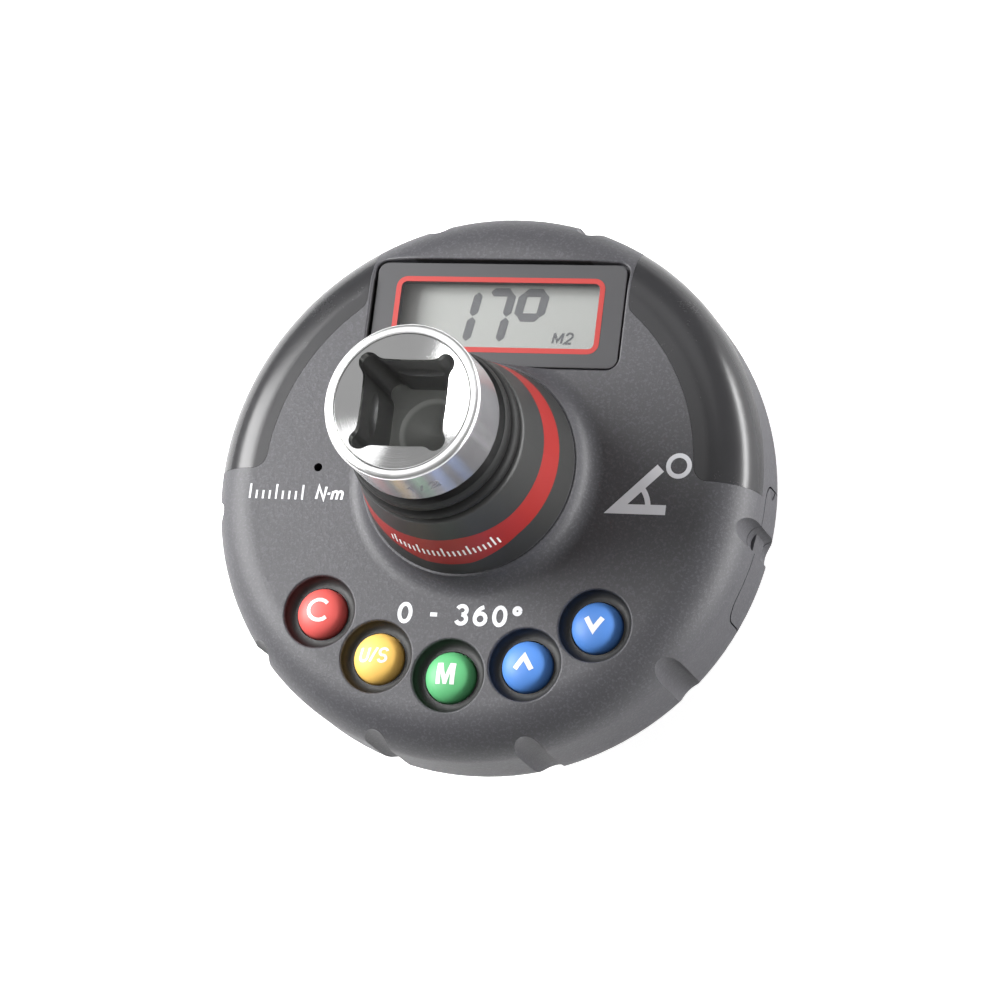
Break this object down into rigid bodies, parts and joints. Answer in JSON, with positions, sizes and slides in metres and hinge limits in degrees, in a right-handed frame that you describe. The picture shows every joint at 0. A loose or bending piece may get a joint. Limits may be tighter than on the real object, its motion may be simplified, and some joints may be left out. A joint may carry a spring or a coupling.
{
  "type": "torque adapter",
  "caption": "Electronic torque and angle adapter: round head with display and buttons on a steel shaft with a female square drive above and a male square drive below.",
  "frame": {"origin": "centre of the tip face of the male square drive", "axes": "+Z along the shaft from the male square to the female square, +Y from the shaft to the display, -Y to the buttons, X and Y square to the flats of both drives"},
  "size_m": [0.0846, 0.0846, 0.0761],
  "materials": {
    "housing_plastic": "moulded, fine spark texture",
    "zinc_steel": "zinc plated",
    "chromed_steel": "polished chrome",
    "bearing_steel": "polished",
    "bronze": "sintered bronze",
    "seal_rubber": "smooth moulded rubber",
    "band_red": "satin",
    "smoked_lens": "smooth, translucent",
    "light_white": "clear epoxy",
    "window_clear": "gloss, printed border",
    "display_grey": "grey-green reflective display",
    "inner_plastic": "plain",
    "board_green": "solder mask",
    "cell_steel": "nickel plated",
    "gauge_film": "polyimide film",
    "button_red": "satin",
    "button_yellow": "satin",
    "button_green": "satin",
    "button_blue": "satin"
  },
  "bodies": {
    "head": {"front_housing": "housing_plastic", "back_cover": "housing_plastic", "housing_screws": "zinc_steel", "board_screws": "zinc_steel", "retaining_ring": "zinc_steel", "shaft_key": "zinc_steel", "thrust_washer": "zinc_steel", "detent_spring": "zinc_steel", "battery_contacts": "zinc_steel", "drive_shaft": "chromed_steel", "front_bush": "bronze", "rear_bush": "bronze", "key_contacts": "bronze", "neck_seal": "seal_rubber", "keypad_mat": "seal_rubber", "display_connectors": "seal_rubber", "colour_band": "band_red", "right_indicator": "smoked_lens", "left_indicator": "smoked_lens", "indicator_lights": "light_white", "display_window": "window_clear", "display_glass": "display_grey", "display_frame": "inner_plastic", "board_chips": "inner_plastic", "buzzer": "inner_plastic", "battery_guide": "inner_plastic", "circuit_board": "board_green", "strain_gauges": "gauge_film", "gauge_cable": "gauge_film"},
    "button_clear": {"button_clear": "button_red"},
    "button_units": {"button_units": "button_yellow"},
    "button_mode": {"button_mode": "button_green"},
    "button_up": {"button_up": "button_blue"},
    "button_down": {"button_down": "button_blue"},
    "detent": {"detent_ball": "bearing_steel"},
    "battery_drawer": {"battery_tray": "housing_plastic", "coin_cell": "cell_steel"}
  },
  "joints": [
    {"name": "press_clear", "type": "slide", "parent": "head", "child": "button_clear", "axis": [0, 0, -1], "range_m": [0, 0.0009], "stiffness_N_per_m": 800, "springref_m": -0.0002},
    {"name": "press_units", "type": "slide", "parent": "head", "child": "button_units", "axis": [0, 0, -1], "range_m": [0, 0.0009], "stiffness_N_per_m": 800, "springref_m": -0.0002},
    {"name": "press_mode", "type": "slide", "parent": "head", "child": "button_mode", "axis": [0, 0, -1], "range_m": [0, 0.0009], "stiffness_N_per_m": 800, "springref_m": -0.0002},
    {"name": "press_up", "type": "slide", "parent": "head", "child": "button_up", "axis": [0, 0, -1], "range_m": [0, 0.0009], "stiffness_N_per_m": 800, "springref_m": -0.0002},
    {"name": "press_down", "type": "slide", "parent": "head", "child": "button_down", "axis": [0, 0, -1], "range_m": [0, 0.0009], "stiffness_N_per_m": 800, "springref_m": -0.0002},
    {"name": "detent_slide", "type": "slide", "parent": "head", "child": "detent", "axis": [0, 1, 0], "range_m": [0, 0.0009], "stiffness_N_per_m": 2000, "springref_m": -0.0005, "deforming": ["detent_spring"]},
    {"name": "battery_slide", "type": "slide", "parent": "head", "child": "battery_drawer", "axis": [0.9826, -0.1857, 0], "range_m": [0, 0.024]}
  ]
}
